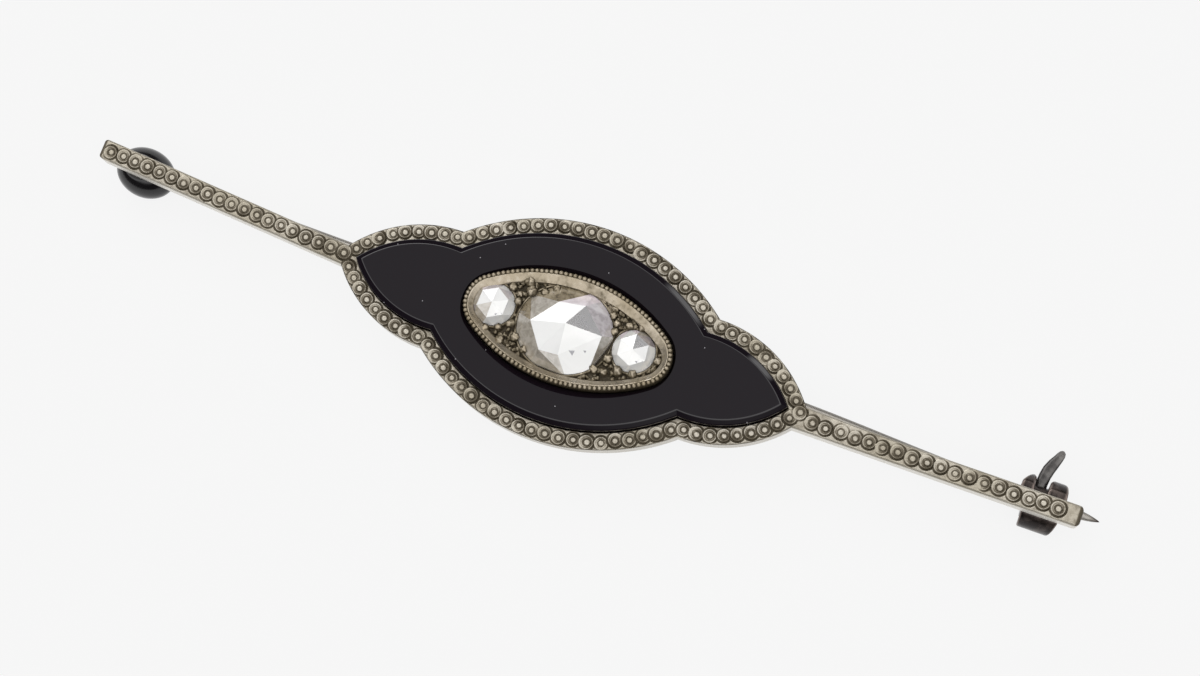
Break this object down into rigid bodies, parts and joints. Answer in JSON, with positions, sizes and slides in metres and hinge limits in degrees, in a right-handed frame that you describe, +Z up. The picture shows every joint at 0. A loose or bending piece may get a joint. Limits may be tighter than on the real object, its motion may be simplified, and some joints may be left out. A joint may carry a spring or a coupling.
{
  "type": "onyx and diamond bar brooch",
  "caption": "Bar brooch: bevelled black onyx panel in a milled silver border, an oval setting of rose-cut stones, two slim arms, a hinged pin and a roll-over catch.",
  "frame": {"origin": "middle of the brooch's overall length and width, on the surface that it lies on", "axes": "+X along the bar from the hinge to the point of the pin, +Y across it to the side of the open lever, +Z up through the stones"},
  "size_m": [0.077, 0.016, 0.0066],
  "materials": {
    "silver": "worn silver, patina in the milling",
    "onyx": "polished black stone",
    "diamond": "clear rose-cut stone over foil",
    "dark_steel": "dark, satin",
    "pin_steel": "drawn wire, satin"
  },
  "bodies": {
    "brooch": {"frame": "silver", "onyx_plaque": "onyx", "centre_setting": "silver", "centre_diamond": "diamond", "left_diamond": "diamond", "right_diamond": "diamond", "hinge_knuckle": "dark_steel", "hinge_rivet": "dark_steel", "catch_housing": "dark_steel"},
    "pin": {"pin_stem": "pin_steel"},
    "lever": {"catch_lever": "dark_steel"}
  },
  "joints": [
    {"name": "pin_hinge", "type": "hinge", "parent": "brooch", "child": "pin", "pos_m": [-0.0357, 0.00141, 0.0015], "axis": [0, 1, 0], "range_deg": [0, 90]},
    {"name": "catch_turn", "type": "hinge", "parent": "brooch", "child": "lever", "pos_m": [0.0344, -0.0001, 0.0015], "axis": [-1, 0, 0], "range_deg": [0, 150]}
  ]
}
